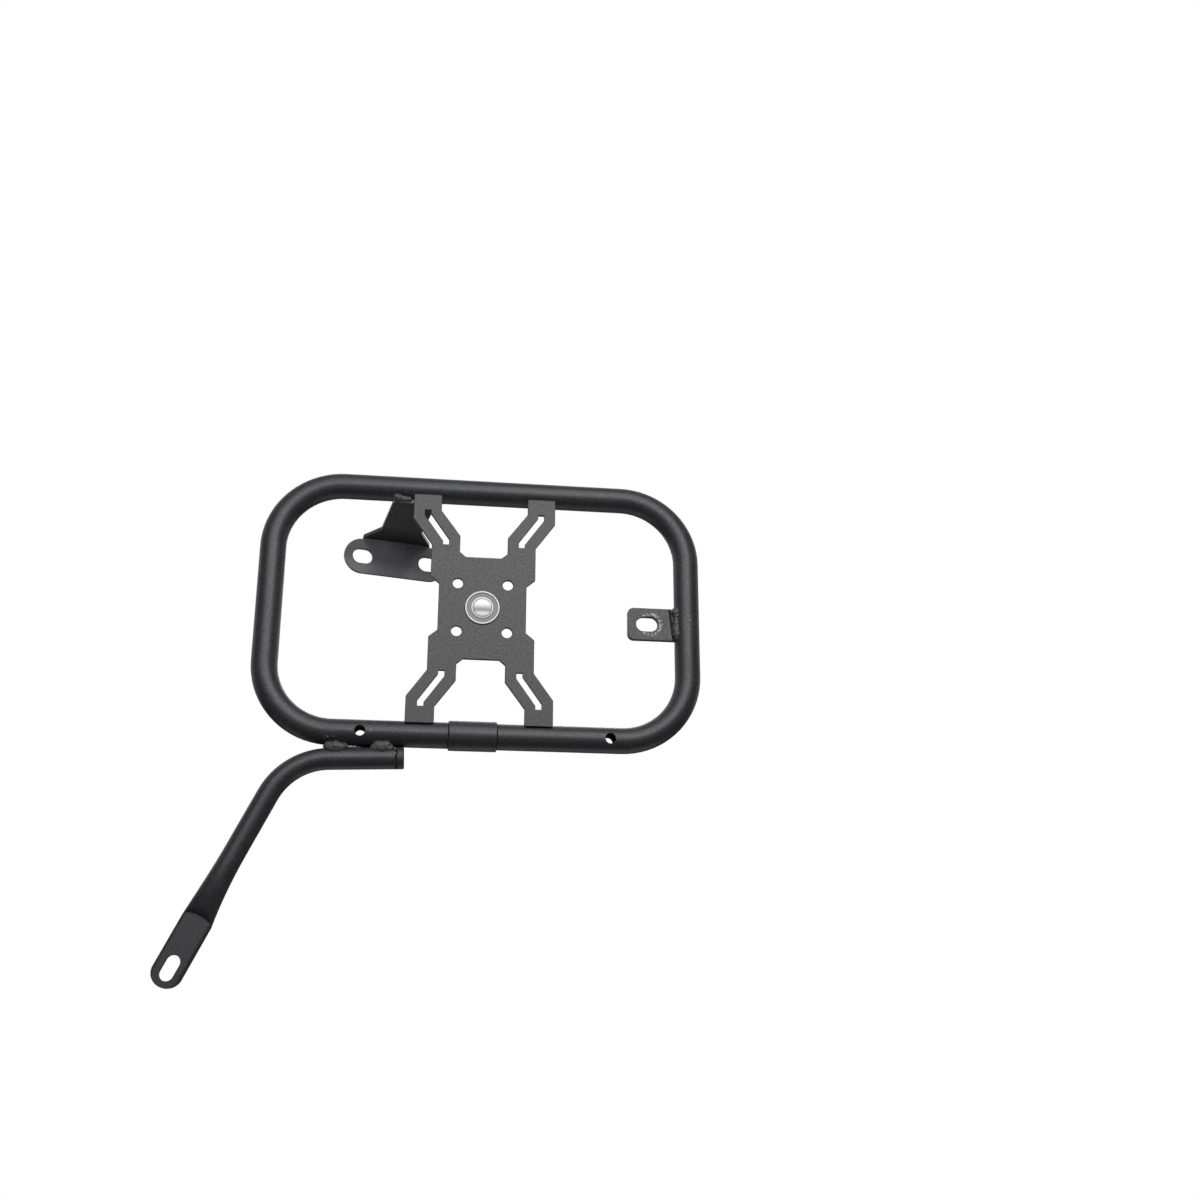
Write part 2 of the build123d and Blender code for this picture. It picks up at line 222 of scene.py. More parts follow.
# %% [markdown]
# The bracket hangs back under the top tube, which keeps the strips off it. The photograph still shows it
# evenly lit from the front. More light from there would flatten the tubes, so light linking lets one
# more lamp shine on the bracket alone.

# %% Bracket lamp
bracket_only = bpy.data.collections.new("bracket_only")
bracket_only.objects.link(nodes["upper_bracket"])
bracket_lamp = soft_lamp("bracket_lamp", (-100, -1500, 0), wide=0.8, tall=0.5, power=25.0)
bracket_lamp.light_linking.receiver_collection = bracket_only

# %% [markdown]
# ## Grain and marks as node groups
# Several finishes share the same effects: the fine grain of powder coat, a ragged chip, a washer's ring
# of scratches and a dark line along a seam. Each could be copied into every material, but a change
# would then have to be made in all of them. So each effect is built once, as a node group. A group gives
# out only a number that changes over the surface, and each material decides what to do with it.

# %% Pattern helpers
def vector_sum(tree, operation, *values):
    """Add a Vector Math node and return its vector or its number."""
    node = add_node(tree, "VectorMath", operation=operation)
    for socket, value in zip(node.inputs, values):
        feed(tree, socket, value)
    return node.outputs["Value" if operation in ("LENGTH", "DOT_PRODUCT") else "Vector"]


def place_on(tree):
    """Return the place on the surface, in metres in the frame's own axes."""
    return add_node(tree, "TexCoord").outputs["Object"]


def noise(tree, place, scale, detail=2.0, rough=0.5):
    """Return a soft random value that changes over the surface."""
    node = add_node(tree, "TexNoise")
    feed(tree, node.inputs["Vector"], place)
    feed(tree, node.inputs["Scale"], scale)
    feed(tree, node.inputs["Detail"], detail)
    feed(tree, node.inputs["Roughness"], rough)
    return node.outputs["Fac"]


def ramp(tree, value, low, high, start=0.0, end=1.0):
    """Return a value that goes smoothly from start to end while the input goes from low to high."""
    node = add_node(tree, "MapRange", interpolation_type="SMOOTHSTEP")
    for socket, number in zip(node.inputs, (value, low, high, start, end)):
        feed(tree, socket, number)
    return node.outputs["Result"]


print("pattern helpers ready")

# %% [markdown]
# A group is a small tree with named sockets. It could be packed from loose nodes by hand, and its sockets
# named afterwards. In a script it is easier to name the sockets first and to build the nodes between them.

# %% Group helpers
FLOAT = "NodeSocketFloat"
VECTOR = "NodeSocketVector"


def new_group(name, inputs, outputs):
    """Start a node group and return its tree, its inputs and its outputs by name."""
    tree = bpy.data.node_groups.new(name, "ShaderNodeTree")
    for label, kind, value in inputs:
        socket = tree.interface.new_socket(label, in_out="INPUT", socket_type=kind)
        socket.default_value = value
    for label in outputs:
        tree.interface.new_socket(label, in_out="OUTPUT", socket_type=FLOAT)
    entry = tree.nodes.new("NodeGroupInput")
    leave = tree.nodes.new("NodeGroupOutput")
    return tree, entry.outputs, leave.inputs


def use_group(tree, name, **values):
    """Place a node group in a material with its own values and return its outputs."""
    node = tree.nodes.new("ShaderNodeGroup")
    node.node_tree = bpy.data.node_groups[name]
    for label, value in values.items():
        feed(tree, node.inputs[label.replace("_", " ")], value)
    return node.outputs


print("group helpers ready")

# %% [markdown]
# Powder melts into a skin with a sandy grain, finer than a millimetre, and with faint broad patches where
# it lies thicker. A bump alone would show only where light grazes. So one fine noise shifts the tone, the
# shine and the height together, and one broad noise adds the patches.

# %% Coat grain
PATCHES_PER_METRE = 38.0
PATCH_LEAST = 0.89
PATCH_SWING = 0.22
TONE_GAIN = 2.5

tree, given, put = new_group(
    "coat_grain",
    [("Grains per metre", FLOAT, 500.0), ("Contrast", FLOAT, 0.3)],
    ["Tone", "Shift", "Height"],
)
spot = place_on(tree)
fine = noise(tree, spot, given["Grains per metre"], detail=3.0, rough=0.7)
broad = noise(tree, spot, PATCHES_PER_METRE)
shift = reckon(tree, "MULTIPLY", reckon(tree, "SUBTRACT", fine, 0.5), given["Contrast"])
patch = reckon(tree, "MULTIPLY_ADD", broad, PATCH_SWING, PATCH_LEAST)
tree.links.new(reckon(tree, "MULTIPLY_ADD", shift, TONE_GAIN, patch), put["Tone"])
tree.links.new(shift, put["Shift"])
tree.links.new(fine, put["Height"])
print("group coat_grain gives", [socket.name for socket in put if socket.name])

# %% [markdown]
# A chip is a small spot where a knock has taken the coat off. A round dot would look printed, so the
# chip is a ball round its centre whose reach is made ragged by a very fine noise.

# %% Chip
CHIP_GRAINS = 2600.0
CHIP_LEAST = 0.4
CHIP_SWING = 1.2
CHIP_EDGE = (0.75, 1.05)

tree, given, put = new_group(
    "paint_chip",
    [("Centre", VECTOR, (0, 0, 0)), ("Size", FLOAT, 0.001)],
    ["Mask"],
)
spot = place_on(tree)
away = vector_sum(tree, "LENGTH", vector_sum(tree, "SUBTRACT", spot, given["Centre"]))
ragged = reckon(tree, "MULTIPLY_ADD", noise(tree, spot, CHIP_GRAINS), CHIP_SWING, CHIP_LEAST)
reach = reckon(tree, "MULTIPLY", given["Size"], ragged)
tree.links.new(ramp(tree, reckon(tree, "DIVIDE", away, reach), *CHIP_EDGE, 1.0, 0.0), put["Mask"])
print("group paint_chip gives a mask")

# %% [markdown]
# A bolt's washer has turned on the tab and torn the coat in a broken ring. A plain ring would be too
# clean. So flecks, blotches and streaks that run round the ring are added up, and bright steel shows
# only where their sum is high, which is mostly in the middle of the ring's width.

# %% Washer mark
STREAKS_OUT = 1500.0
STREAKS_ROUND = 4.0
FLECKS_PER_METRE = 1050.0
BLOTCHES_PER_METRE = 170.0
FLECK_SHARE = 1.4
BLOTCH_SHARE = 0.4
STREAK_SHARE = 0.3
RING_FADE = (0.2, 1.0)
TEAR_EDGE = (1.52, 1.64)


def split_round(tree, place):
    """Return a place's x and z, and its distance from the y axis."""
    parts = add_node(tree, "SeparateXYZ")
    tree.links.new(place, parts.inputs[0])
    x, z = parts.outputs["X"], parts.outputs["Z"]
    square = reckon(tree, "MULTIPLY_ADD", z, z, reckon(tree, "MULTIPLY", x, x))
    return x, z, reckon(tree, "SQRT", square)


tree, given, put = new_group(
    "washer_mark",
    [
        ("Centre", VECTOR, (0, 0, 0)),
        ("Radius", FLOAT, 0.01),
        ("Width", FLOAT, 0.002),
        ("Cover", FLOAT, 0.4),
    ],
    ["Mask"],
)
spot = place_on(tree)
x, z, out = split_round(tree, vector_sum(tree, "SUBTRACT", spot, given["Centre"]))
off_ring = reckon(tree, "ABSOLUTE", reckon(tree, "SUBTRACT", out, given["Radius"]))
band = reckon(tree, "DIVIDE", off_ring, given["Width"])
polar = add_node(tree, "CombineXYZ")
tree.links.new(reckon(tree, "MULTIPLY", out, STREAKS_OUT), polar.inputs["X"])
tree.links.new(reckon(tree, "MULTIPLY", reckon(tree, "ARCTAN2", z, x), STREAKS_ROUND), polar.inputs["Y"])
streak = noise(tree, polar.outputs[0], 1.0, detail=3.0, rough=0.6)
fleck = noise(tree, spot, FLECKS_PER_METRE, rough=0.6)
blotch = noise(tree, spot, BLOTCHES_PER_METRE)
torn = reckon(tree, "MULTIPLY_ADD", fleck, FLECK_SHARE, reckon(tree, "MULTIPLY", blotch, BLOTCH_SHARE))
worn = reckon(tree, "MULTIPLY_ADD", streak, STREAK_SHARE, torn)
inside = ramp(tree, band, *RING_FADE, 1.0, 0.0)
level = reckon(tree, "MULTIPLY_ADD", inside, given["Cover"], worn)
tree.links.new(ramp(tree, level, *TEAR_EDGE), put["Mask"])
print("group washer_mark gives a mask")

# %% [markdown]
# Where two pieces meet, shade falls into the gap as a dark, slightly wandering line. It could be a groove
# in the mesh, but the imported solids aren't changed. So the line is a mask: near a plane that is given by
# a place and a direction, with a noise that sways it. The coats paint it dark as painted shade and sink it
# a little in the bump.

# %% Seam line
SWAYS_PER_METRE = 260.0
SEAM_EDGE = (0.45, 1.1)

tree, given, put = new_group(
    "seam_shade_line",
    [
        ("Place", VECTOR, (0, 0, 0)),
        ("Along", VECTOR, (1, 0, 0)),
        ("Half width", FLOAT, 0.0004),
        ("Wave", FLOAT, 0.0),
    ],
    ["Mask"],
)
spot = place_on(tree)
run = vector_sum(tree, "DOT_PRODUCT", vector_sum(tree, "SUBTRACT", spot, given["Place"]), given["Along"])
swing = reckon(tree, "SUBTRACT", noise(tree, spot, SWAYS_PER_METRE, detail=3.0), 0.5)
sway = reckon(tree, "MULTIPLY", swing, given["Wave"])
gap = reckon(tree, "DIVIDE", reckon(tree, "ABSOLUTE", reckon(tree, "ADD", run, sway)), given["Half width"])
tree.links.new(ramp(tree, gap, *SEAM_EDGE, 1.0, 0.0), put["Mask"])
print("group seam_shade_line gives a mask")

# %% [markdown]
# ## Powder coat
# Powder coat is baked plastic: a dark body colour under a satin skin, with a sandy grain that breaks up
# the shine. Each piece could have a material of its own from scratch. One function makes them all
# instead, and each group of pieces gets its own values and marks. It needs two helpers for colours, one
# to darken or lighten a colour and one to lay a colour over another.

# %% Colour helpers
# A Mix node has a set of sockets for each kind of data, and these are the ones for colours
MIX_BELOW, MIX_ABOVE, MIX_RESULT = 6, 7, 2


def scaled(tree, vector, factor):
    """Return a vector or colour times a number."""
    node = add_node(tree, "VectorMath", operation="SCALE")
    feed(tree, node.inputs[0], vector)
    feed(tree, node.inputs["Scale"], factor)
    return node.outputs["Vector"]


def blended(tree, mask, below, above):
    """Return one colour laid over another where the mask is white."""
    node = add_node(tree, "Mix", data_type="RGBA")
    feed(tree, node.inputs["Factor"], mask)
    feed(tree, node.inputs[MIX_BELOW], below)
    feed(tree, node.inputs[MIX_ABOVE], above)
    return node.outputs[MIX_RESULT]


print("colour helpers ready")

# %% [markdown]
# Marks are laid over the coat in order: first the seams, painted near black as painted shade in the gap
# between two pieces, then chips, then bright worn steel, as these came to be. A seam is also dull and sunk,
# and worn steel also shines like metal. Edges that need it are rounded in the shading by a Bevel node,
# under the bump of the grain.

# %% Coat function
STEEL = (0.34, 0.335, 0.325, 1)
STEEL_SHINE = 0.35
PRIMER = (0.30, 0.30, 0.295, 1)
# Near black for seams: painted shade in the gaps between pieces
SHADE = (0.004, 0.004, 0.004, 1)
SEAM_DEPTH = 0.6 * MM
SEAM_DULLING = 0.45
ROLL_SAMPLES = 6


def start_coat(name):
    """Start a coat material and return it with its tree and shader."""
    material = bpy.data.materials.new(name)
    material.use_nodes = True
    tree = material.node_tree
    return material, tree, tree.nodes["Principled BSDF"]


def finish_coat(tree, shader, colour, skin, seams=(), chips=(), metal=None, rolled=None):
    """Build a coat with its seams, chips, worn metal and rolled edges, and wire it to its shader."""
    grain = use_group(tree, "coat_grain", Grains_per_metre=skin["grains"], Contrast=skin["contrast"])
    body = scaled(tree, colour, grain["Tone"])
    satin = reckon(tree, "ADD", grain["Shift"], skin["rough"])
    height = reckon(tree, "MULTIPLY", grain["Height"], skin["depth"])
    for seam in seams:
        # Painted shade: the seam's gap is coloured near black
        body = blended(tree, seam, body, SHADE)
        satin = reckon(tree, "MULTIPLY_ADD", seam, SEAM_DULLING, satin, clamp=True)
        height = reckon(tree, "MULTIPLY_ADD", seam, -SEAM_DEPTH, height)
    for chip in chips:
        body = blended(tree, chip, body, PRIMER)
    if metal is not None:
        body = blended(tree, metal, body, STEEL)
        tree.links.new(reckon(tree, "MULTIPLY", metal, STEEL_SHINE), shader.inputs["Metallic"])
    bump = add_node(tree, "Bump")
    bump.inputs["Distance"].default_value = 1.0
    tree.links.new(height, bump.inputs["Height"])
    if rolled is not None:
        edge = add_node(tree, "Bevel", samples=ROLL_SAMPLES)
        tree.links.new(rolled, edge.inputs["Radius"])
        tree.links.new(edge.outputs[0], bump.inputs["Normal"])
    tree.links.new(body, shader.inputs["Base Color"])
    tree.links.new(satin, shader.inputs["Roughness"])
    tree.links.new(bump.outputs[0], shader.inputs["Normal"])


def dress(node_name, material):
    """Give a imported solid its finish."""
    node = nodes[node_name]
    node.data.materials.clear()
    node.data.materials.append(material)
    print(node_name, "wears", material.name)


print("coat function ready")

# %% [markdown]
# The loop is one tube whose ends meet inside a sleeve. At both ends of the sleeve the coat dips a little,
# and the gap there is painted dark as painted shade. A few knocks have chipped the tube beside the front
# cross hole and on the rear leg. The lines are seam masks at the ends of the sleeve's box, kept to the
# bottom run because the top run crosses the same planes.

# %% Tube coat
TUBE_BLACK = (0.0209, 0.0211, 0.0240)
TUBE_SKIN = {"grains": 640.0, "contrast": 0.65, "rough": 0.48, "depth": 0.07 * MM}
SLEEVE_SEAM = {"Half_width": 0.6 * MM, "Wave": 0.3 * MM}
ABOVE_RUN = 20 * MM
# Each chip: x, z and size, in millimetres
CHIP_PLACES = ((-104.8, -109.5, 0.3), (-88.6, -109.5, 0.5), (180.2, -2.6, 0.5))
sleeve_low, sleeve_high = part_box("joint_sleeve")
loop_low, loop_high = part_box("loop_tube")
run_z = (sleeve_low.z + sleeve_high.z) / 2

tube_coat, tree, shader = start_coat("tube_coat")
here = add_node(tree, "SeparateXYZ")
tree.links.new(place_on(tree), here.inputs[0])
on_bottom = reckon(tree, "LESS_THAN", here.outputs["Z"], run_z + ABOVE_RUN)
ends = []
for x in (sleeve_low.x, sleeve_high.x):
    # Painted shade in the gap at each end of the sleeve
    line = use_group(tree, "seam_shade_line", Place=(x, 0, 0), Along=(1, 0, 0), **SLEEVE_SEAM)
    ends.append(reckon(tree, "MULTIPLY", line["Mask"], on_bottom))
chips = [
    use_group(tree, "paint_chip", Centre=(x * MM, loop_low.y, z * MM), Size=size * MM)["Mask"]
    for x, z, size in CHIP_PLACES
]
finish_coat(tree, shader, TUBE_BLACK, TUBE_SKIN, seams=ends, chips=chips)
dress("loop_tube", tube_coat)

# %% [markdown]
# The bracket and the sleeve have the tube's coat, but no marks. They could wear the tube's material, but
# its seams would then show on the sleeve. So they get the coat on its own.

# %% Bracket and sleeve coat
bracket_coat, tree, shader = start_coat("bracket_coat")
finish_coat(tree, shader, TUBE_BLACK, TUBE_SKIN)
dress("upper_bracket", bracket_coat)
dress("joint_sleeve", bracket_coat)

# %% [markdown]
# The stay's lower end is pressed to a flat tongue, and pressing leaves its long edges rolled. At the upper
# end the plug sits in the tube, with a nicked gap between them that is painted dark as painted shade.
# Rolled edges could be modelled, but a imported solid isn't changed. So a Bevel node rounds the shading
# alone, close to the tongue's long edges, which are found by measuring along the leg and across it.

# %% Stay coat
STAY_TILT = math.radians(2.2)
LEG_LEAN = math.radians(25.55)
# A point on the leg's axis, and how far down the axis from it the tongue's crease lies
LEG_POINT = (-153.7 * MM, 0, -133.3 * MM)
CREASE = 139.2 * MM
CREASE_BLEND = 4 * MM
EDGE_BAND = (8.0 * MM, 9.6 * MM)
EDGE_ROLL = 2.2 * MM
PLUG_SEAM = {"Half_width": 0.9 * MM, "Wave": 2.2 * MM}
# Each nick: y, height above the seam's middle and size, in millimetres
SEAM_NICKS = ((5.4, 7.2, 1.2), (2.2, 2.4, 0.7))
NICK_INSET = 0.5 * MM
plug_low, plug_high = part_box("stay_plug")
_, stay_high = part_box("stay")
run_axis = (math.cos(STAY_TILT), 0, math.sin(STAY_TILT))
seam_place = Vector((stay_high.x, 0, (plug_low.z + plug_high.z) / 2))

stay_coat, tree, shader = start_coat("stay_coat")
# Painted shade along the gap between the stay and the plug
joint = use_group(tree, "seam_shade_line", Place=seam_place, Along=run_axis, **PLUG_SEAM)
from_leg = vector_sum(tree, "SUBTRACT", place_on(tree), LEG_POINT)
aside = vector_sum(tree, "DOT_PRODUCT", from_leg, (math.cos(LEG_LEAN), 0, -math.sin(LEG_LEAN)))
along = vector_sum(tree, "DOT_PRODUCT", from_leg, (-math.sin(LEG_LEAN), 0, -math.cos(LEG_LEAN)))
near_edge = ramp(tree, reckon(tree, "ABSOLUTE", aside), *EDGE_BAND, 0.0, EDGE_ROLL)
on_tongue = ramp(tree, along, CREASE, CREASE + CREASE_BLEND)
rolled = reckon(tree, "MULTIPLY", near_edge, on_tongue)
nicks = []
for y, up, size in SEAM_NICKS:
    centre = seam_place + Vector((-NICK_INSET, y * MM, up * MM))
    nicks.append(use_group(tree, "paint_chip", Centre=centre, Size=size * MM)["Mask"])
finish_coat(tree, shader, TUBE_BLACK, TUBE_SKIN, seams=[joint["Mask"]], chips=nicks, rolled=rolled)
dress("stay", stay_coat)

# %% [markdown]
# The plate is cut sheet, so its coat lies flat and its grain shows more than on the round tubes. It could
# share the tubes' coat, but that would make it too dark and too smooth. It gets a deeper grain, and a body
# a little lighter than the same coat on the tubes, which is painted light on its flat face.

# %% Plate coat
# Painted light: the tubes' black coat made a little lighter, for the plate and the tab
PLATE_GREY_PAINTED_LIGHTER = (0.0229, 0.0232, 0.0252)
PLATE_SKIN = {"grains": 620.0, "contrast": 0.66, "rough": 0.495, "depth": 0.12 * MM}

plate_coat, tree, shader = start_coat("plate_coat")
finish_coat(tree, shader, PLATE_GREY_PAINTED_LIGHTER, PLATE_SKIN)
dress("mounting_plate", plate_coat)

# %% [markdown]
# The tab has seen use: a washer has torn a ring round its slot and its free edge is nicked. Beside its weld
# runs a groove, sunk a little and painted dark as painted shade. Cut geometry would be too coarse for marks
# this thin. They are the groups from above, laid over the plate's coat and placed from the tab's box.

# %% Tab coat
TAB_SLOT_INSET = 17.0 * MM
WASHER_SHIFT = 2.9 * MM
WASHER = {"Radius": 9.3 * MM, "Width": 3.2 * MM, "Cover": 0.46}
GROOVE_INSET = 38.55 * MM
GROOVE_ACROSS = (0.992, 0, 0.124)
GROOVE = {"Half_width": 1.0 * MM, "Wave": 1.4 * MM}
# Each nick: drop below the tab's top edge and size, in millimetres
TAB_NICKS = ((3.8, 0.9), (9.8, 0.8), (11.2, 0.5))
tab_low, tab_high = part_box("side_tab")
washer_x = tab_low.x + TAB_SLOT_INSET + WASHER_SHIFT
groove_x = tab_low.x + GROOVE_INSET
slot_z = (tab_low.z + tab_high.z) / 2

tab_coat, tree, shader = start_coat("tab_coat")
ring = use_group(tree, "washer_mark", Centre=(washer_x, tab_low.y, slot_z), **WASHER)
# Painted shade along the groove beside the weld
groove = use_group(tree, "seam_shade_line", Place=(groove_x, tab_low.y, slot_z), Along=GROOVE_ACROSS, **GROOVE)
nicks = []
for down, size in TAB_NICKS:
    centre = (tab_low.x, tab_low.y, tab_high.z - down * MM)
    nicks.append(use_group(tree, "paint_chip", Centre=centre, Size=size * MM)["Mask"])
finish_coat(tree, shader, PLATE_GREY_PAINTED_LIGHTER, PLATE_SKIN, seams=[groove["Mask"]], chips=nicks, metal=ring["Mask"])
dress("side_tab", tab_coat)

# %% [markdown]
# The plug is moulded plastic, duller and smoother than the coat. The coat function makes it too, because
# the same painted shade along the seam has to cross from the stay to the plug without a step.

# %% Plug
PLUG_BLACK = (0.022, 0.022, 0.0225)
PLUG_SKIN = {"grains": 600.0, "contrast": 0.16, "rough": 0.56, "depth": 0.12 * MM}

plug_coat, tree, shader = start_coat("plug_plastic")
# Painted shade along the gap, the same as on the stay
joint = use_group(tree, "seam_shade_line", Place=seam_place, Along=run_axis, **PLUG_SEAM)
finish_coat(tree, shader, PLUG_BLACK, PLUG_SKIN, seams=[joint["Mask"]])
dress("stay_plug", plug_coat)

# %% [markdown]
# ## Weld metal
# A hand-laid weld is a row of overlapping puddles, each a little off line, with a rough skin under the
# paint. A smooth rod would look machined. So each bead is a row of balls, merged by a voxel remesh,
# smoothed a little and then roughened by a Displace modifier on a cloud texture. Its coat is deeper in
# grain than the tubes', because it lies on a rougher ground, and it is painted lighter than the same coat
# on the tubes, as a painted sheen of its rough skin.

# %% Weld finish
# Painted sheen: the tubes' black coat made about twice as light on the welds
WELD_GREY_WITH_PAINTED_SHEEN = (0.046, 0.046, 0.0455)
WELD_SKIN = {"grains": 620.0, "contrast": 0.36, "rough": 0.52, "depth": 0.35 * MM}

weld_coat, tree, shader = start_coat("weld_coat")
finish_coat(tree, shader, WELD_GREY_WITH_PAINTED_SHEEN, WELD_SKIN)
cloud = bpy.data.textures.new("weld_skin", "CLOUDS")
cloud.noise_scale = 2.4 * MM
cloud.noise_depth = 2
print("finish", weld_coat.name, "and texture", cloud.name)

# %% [markdown]
# Every weld goes through the same steps, so each step is a function: add a ball, merge the balls into one
# lumpy piece, and settle the piece. To settle it, its place is put into its mesh, because the finishes
# read places from the mesh. It then rides on the frame, in place of the plain bead of the solids.

# %% Weld helpers
BALL_SEGMENTS = 20
BALL_RINGS = 12


def puddle(place, radius, turn=(0, 0, 0), flat=1.0):
    """Add one ball of weld metal, flattened along its own z axis, and return it."""
    bpy.ops.mesh.primitive_uv_sphere_add(
        segments=BALL_SEGMENTS, ring_count=BALL_RINGS, radius=radius, location=place, rotation=turn
    )
    ball = bpy.context.object
    ball.scale.z = flat
    return ball


def only(piece):
    """Select one object and make it active."""
    bpy.ops.object.select_all(action="DESELECT")
    piece.select_set(True)
    bpy.context.view_layer.objects.active = piece


def apply_all(piece):
    """Apply a piece's modifiers in order."""
    only(piece)
    for modifier in list(piece.modifiers):
        bpy.ops.object.modifier_apply(modifier=modifier.name)


def weld_piece(name, balls, voxel, skin):
    """Merge balls into one lumpy weld."""
    only(balls[0])
    for ball in balls:
        ball.select_set(True)
    bpy.ops.object.transform_apply(location=True, rotation=True, scale=True)
    bpy.ops.object.join()
    weld = bpy.context.object
    weld.name = name
    remesh = weld.modifiers.new("merge", "REMESH")
    remesh.mode = "VOXEL"
    remesh.voxel_size = voxel
    smooth = weld.modifiers.new("soften", "SMOOTH")
    smooth.iterations = 2
    rough = weld.modifiers.new("roughen", "DISPLACE")
    rough.texture = cloud
    rough.texture_coords = "GLOBAL"
    rough.strength = skin
    rough.mid_level = 0.5
    apply_all(weld)
    return weld


def settle(piece, material, slot, *stands_for):
    """Put a finished piece's place into its mesh, give it its finish and let it ride on the frame."""
    only(piece)
    bpy.ops.object.transform_apply(location=True, rotation=True, scale=True)
    piece.data.materials.clear()
    piece.data.materials.append(material)
    bpy.ops.object.shade_smooth()
    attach(piece, "root")
    if stands_for:
        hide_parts(*stands_for)
    print(piece.name, "faces:", len(piece.data.polygons))


print("weld helpers ready")

# %% [markdown]
# The stay hangs from two welds. Each is a short heap of puddles that fills the groove in front and behind
# and runs up on the loop and down on the stay. Between the heaps the gap between the tubes stays open
# for a few millimetres, and from there on a thin root of weld metal closes it. A little spatter lies on
# the loop above the left heap. A row at one even pitch would miss all this, so the places are listed one by
# one.

# %% Stay welds
# Each puddle: x, height above the gap's middle and radius, in millimetres
LEFT_HEAP = (
    (-122.0, -0.4, 4.0), (-119.2, -1.9, 4.8), (-115.8, -1.0, 5.2), (-112.4, -1.7, 4.6), (-109.8, -1.2, 3.9),
)
RIGHT_HEAP = (
    (-84.2, -1.9, 4.4), (-81.6, -0.3, 5.2), (-78.4, -1.2, 5.6), (-75.2, -0.1, 4.8), (-72.8, -2.0, 4.2),
)
# Each drop: x, height above the loop's underside and radius, in millimetres
SPATTER = (
    (-124.2, 5.4, 0.8), (-122.6, 4.6, 1.0), (-120.4, 6.0, 0.7), (-118.4, 5.0, 0.9), (-125.2, 3.6, 0.7),
)
# Each stretch of root: first x, last x, radius, height and depth, in millimetres
ROOT_SPANS = (
    (-98.0, -70.0, 2.0, 0.0, 4.0), (-124.0, -108.0, 2.6, 0.0, 0.0), (-109.0, -97.0, 2.0, -1.45, 0.0),
)
# Distances that go with the tables, also in millimetres, and the spread of the root's radius
HEAP_DEPTH = 5.0
HEAP_STRAY = 0.3
ROOT_PITCH = 1.5
ROOT_SPREAD = (0.9, 1.05)
GAP_AT_END = 0.45 * MM
tube_y = (loop_low.y + loop_high.y) / 2
tube_r = (loop_high.y - loop_low.y) / 2


def gap_z(x):
    """Return the height of the middle of the gap between the loop and the stay."""
    gap = GAP_AT_END + (stay_high.x - x) * math.tan(STAY_TILT)
    return loop_low.z - gap / 2


chance = random.Random(7)
balls = []
for x, up, radius in LEFT_HEAP + RIGHT_HEAP:
    for side in (-1, 1):
        y = tube_y + side * (HEAP_DEPTH + chance.uniform(-HEAP_STRAY, HEAP_STRAY)) * MM
        balls.append(puddle((x * MM, y, gap_z(x * MM) + up * MM), radius * MM))
for x, up, radius in SPATTER:
    depth = math.sqrt(tube_r**2 - (tube_r - up * MM) ** 2)
    balls.append(puddle((x * MM, tube_y - depth, loop_low.z + up * MM), radius * MM))
for left, right, radius, up, back in ROOT_SPANS:
    for step in range(int((right - left) / ROOT_PITCH) + 1):
        x = (left + ROOT_PITCH * step) * MM
        place = (x, tube_y + back * MM, gap_z(x) + up * MM)
        balls.append(puddle(place, radius * chance.uniform(*ROOT_SPREAD) * MM))
stay_welds = weld_piece("stay_weld_lumps", balls, voxel=0.45 * MM, skin=1.3 * MM)
settle(stay_welds, weld_coat, "coated_weld", "stay_welds")

# %% [markdown]
# The tab is held by one upright bead in the corner between its face and the rear leg. A row of equal balls
# would be too even, because the real bead thins a third of the way down and again at its foot. So each
# puddle's drop below the tab's top edge, its shift and its radius are listed one by one.

# %% Tab weld
# Each puddle: drop, shift and radius, and then the shift of the whole row, in millimetres
TAB_HEAP = (
    (3.2, 0.2, 4.3), (6.4, 0.8, 3.8), (9.8, 0.9, 3.3), (13.0, 0.2, 3.7),
    (16.4, 0.3, 4.0), (19.8, -0.1, 4.3), (23.0, 0.4, 4.2), (25.8, 0.9, 3.2),
)
TAB_HEAP_SHIFT = 1.5
TAB_HEAP_FRONT = 0.9 * MM
tab_weld_low, tab_weld_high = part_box("tab_weld")
corner_x = (tab_weld_low.x + tab_weld_high.x) / 2

balls = []
for down, across, radius in TAB_HEAP:
    x = corner_x + (across + TAB_HEAP_SHIFT) * MM
    balls.append(puddle((x, tab_low.y - TAB_HEAP_FRONT, tab_high.z - down * MM), radius * MM))
tab_weld = weld_piece("tab_weld_lumps", balls, voxel=0.4 * MM, skin=1.3 * MM)
settle(tab_weld, weld_coat, "coated_weld", "tab_weld")

# %% [markdown]
# The bracket is welded under the top run. Its short front bead shows, so its puddles are listed one by one.
# The rear bead is out of sight and even, so a row with a little chance in it is enough.

# %% Bracket welds
# Each puddle: distance along the bead, height and radius, in millimetres
BRACKET_HEAP = ((3.0, 0.6, 3.7), (5.6, 0.1, 3.2), (8.4, -0.4, 2.6), (11.0, -0.6, 2.4), (13.6, -0.5, 2.3))
FRONT_INSET = 3.4 * MM
REAR_INSET_Y = 3.0 * MM
REAR_INSET_Z = 3.6 * MM
REAR_END = 3 * MM
PUDDLE_SPREAD = (0.82, 1.14)
PUDDLE_FLAT = 0.72
bracket_low, bracket_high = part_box("bracket_welds")


def puddles(chance, start, end, radius, pitch, stray):
    """Add a row of flattened balls from start to end and return them."""
    start, end = Vector(start), Vector(end)
    turn = (end - start).to_track_quat("Z", "Y").to_euler()
    count = max(2, round((end - start).length / pitch) + 1)
    balls = []
    for i in range(count):
        jitter = Vector([chance.uniform(-stray, stray) for _ in range(3)])
        centre = start.lerp(end, i / (count - 1)) + jitter
        balls.append(puddle(centre, radius * chance.uniform(*PUDDLE_SPREAD), turn, PUDDLE_FLAT))
    return balls


